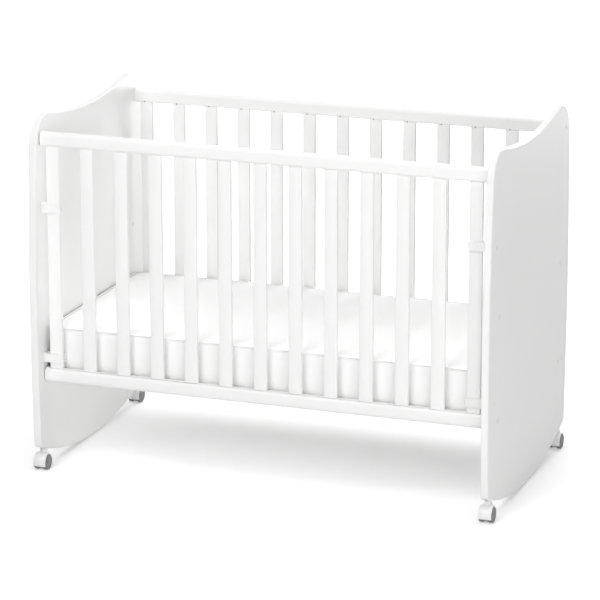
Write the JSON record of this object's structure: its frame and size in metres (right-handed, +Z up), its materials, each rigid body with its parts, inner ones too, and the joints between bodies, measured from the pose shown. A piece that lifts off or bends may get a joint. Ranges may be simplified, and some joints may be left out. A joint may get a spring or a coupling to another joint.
{
  "type": "crib",
  "caption": "Child's crib on casters: shaped end panels with rocker feet, a sliding slatted front side, a fixed slatted rear side, a base and a mattress.",
  "frame": {"origin": "on the floor, under the middle of the crib", "axes": "+X along the crib to the right end panel, +Y from the sliding front side to the fixed rear side, +Z up"},
  "size_m": [1.263, 0.732, 0.9516],
  "materials": {
    "white_lacquer": "satin",
    "guide_plastic": "satin",
    "hood_plastic": "satin",
    "wheel_plastic": "matte",
    "stem_steel": "polished",
    "mattress_cover": "matte"
  },
  "bodies": {
    "crib": {"end_panel_left": "white_lacquer", "end_panel_right": "white_lacquer", "rear_side_bottom_rail": "white_lacquer", "rear_side_top_rail": "white_lacquer", "rear_side_slat_01": "white_lacquer", "rear_side_slat_02": "white_lacquer", "rear_side_slat_03": "white_lacquer", "rear_side_slat_04": "white_lacquer", "rear_side_slat_05": "white_lacquer", "rear_side_slat_06": "white_lacquer", "rear_side_slat_07": "white_lacquer", "rear_side_slat_08": "white_lacquer", "rear_side_slat_09": "white_lacquer", "rear_side_slat_10": "white_lacquer", "rear_side_slat_11": "white_lacquer", "rear_side_slat_12": "white_lacquer", "rear_side_slat_13": "white_lacquer", "guide_lower_left": "guide_plastic", "guide_lower_right": "guide_plastic", "guide_upper_left": "guide_plastic", "guide_upper_right": "guide_plastic", "base_rail_left": "white_lacquer", "base_rail_right": "white_lacquer", "base_rail_front": "white_lacquer", "base_rail_rear": "white_lacquer", "base_board": "white_lacquer", "mattress": "mattress_cover", "caster_front_left_stem": "stem_steel", "caster_front_right_stem": "stem_steel", "caster_rear_left_stem": "stem_steel", "caster_rear_right_stem": "stem_steel"},
    "front_side": {"front_side_bottom_rail": "white_lacquer", "front_side_top_rail": "white_lacquer", "front_side_slat_01": "white_lacquer", "front_side_slat_02": "white_lacquer", "front_side_slat_03": "white_lacquer", "front_side_slat_04": "white_lacquer", "front_side_slat_05": "white_lacquer", "front_side_slat_06": "white_lacquer", "front_side_slat_07": "white_lacquer", "front_side_slat_08": "white_lacquer", "front_side_slat_09": "white_lacquer", "front_side_slat_10": "white_lacquer", "front_side_slat_11": "white_lacquer", "front_side_slat_12": "white_lacquer", "front_side_slat_13": "white_lacquer"},
    "caster_front_left": {"caster_front_left_housing": "hood_plastic"},
    "caster_front_right": {"caster_front_right_housing": "hood_plastic"},
    "caster_rear_left": {"caster_rear_left_housing": "hood_plastic"},
    "caster_rear_right": {"caster_rear_right_housing": "hood_plastic"},
    "wheel_front_left_left": {"caster_front_left_wheel_left": "wheel_plastic"},
    "wheel_front_left_right": {"caster_front_left_wheel_right": "wheel_plastic"},
    "wheel_front_right_left": {"caster_front_right_wheel_left": "wheel_plastic"},
    "wheel_front_right_right": {"caster_front_right_wheel_right": "wheel_plastic"},
    "wheel_rear_left_left": {"caster_rear_left_wheel_left": "wheel_plastic"},
    "wheel_rear_left_right": {"caster_rear_left_wheel_right": "wheel_plastic"},
    "wheel_rear_right_left": {"caster_rear_right_wheel_left": "wheel_plastic"},
    "wheel_rear_right_right": {"caster_rear_right_wheel_right": "wheel_plastic"}
  },
  "joints": [
    {"name": "front_side_slide", "type": "slide", "parent": "crib", "child": "front_side", "axis": [0, 0, -1], "range_m": [0, 0.15]},
    {"name": "caster_front_left_swivel", "type": "hinge", "parent": "crib", "child": "caster_front_left", "pos_m": [-0.613, -0.318, 0.04], "axis": [0, 0, 1], "continuous": true},
    {"name": "caster_front_right_swivel", "type": "hinge", "parent": "crib", "child": "caster_front_right", "pos_m": [0.613, -0.318, 0.04], "axis": [0, 0, 1], "continuous": true},
    {"name": "caster_rear_left_swivel", "type": "hinge", "parent": "crib", "child": "caster_rear_left", "pos_m": [-0.613, 0.318, 0.04], "axis": [0, 0, 1], "continuous": true},
    {"name": "caster_rear_right_swivel", "type": "hinge", "parent": "crib", "child": "caster_rear_right", "pos_m": [0.613, 0.318, 0.04], "axis": [0, 0, 1], "continuous": true},
    {"name": "wheel_front_left_left_spin", "type": "hinge", "parent": "caster_front_left", "child": "wheel_front_left_left", "pos_m": [-0.6255, -0.326, 0.021], "axis": [1, 0, 0], "continuous": true},
    {"name": "wheel_front_left_right_spin", "type": "hinge", "parent": "caster_front_left", "child": "wheel_front_left_right", "pos_m": [-0.6005, -0.326, 0.021], "axis": [1, 0, 0], "continuous": true},
    {"name": "wheel_front_right_left_spin", "type": "hinge", "parent": "caster_front_right", "child": "wheel_front_right_left", "pos_m": [0.6005, -0.326, 0.021], "axis": [1, 0, 0], "continuous": true},
    {"name": "wheel_front_right_right_spin", "type": "hinge", "parent": "caster_front_right", "child": "wheel_front_right_right", "pos_m": [0.6255, -0.326, 0.021], "axis": [1, 0, 0], "continuous": true},
    {"name": "wheel_rear_left_left_spin", "type": "hinge", "parent": "caster_rear_left", "child": "wheel_rear_left_left", "pos_m": [-0.6255, 0.31, 0.021], "axis": [1, 0, 0], "continuous": true},
    {"name": "wheel_rear_left_right_spin", "type": "hinge", "parent": "caster_rear_left", "child": "wheel_rear_left_right", "pos_m": [-0.6005, 0.31, 0.021], "axis": [1, 0, 0], "continuous": true},
    {"name": "wheel_rear_right_left_spin", "type": "hinge", "parent": "caster_rear_right", "child": "wheel_rear_right_left", "pos_m": [0.6005, 0.31, 0.021], "axis": [1, 0, 0], "continuous": true},
    {"name": "wheel_rear_right_right_spin", "type": "hinge", "parent": "caster_rear_right", "child": "wheel_rear_right_right", "pos_m": [0.6255, 0.31, 0.021], "axis": [1, 0, 0], "continuous": true}
  ]
}
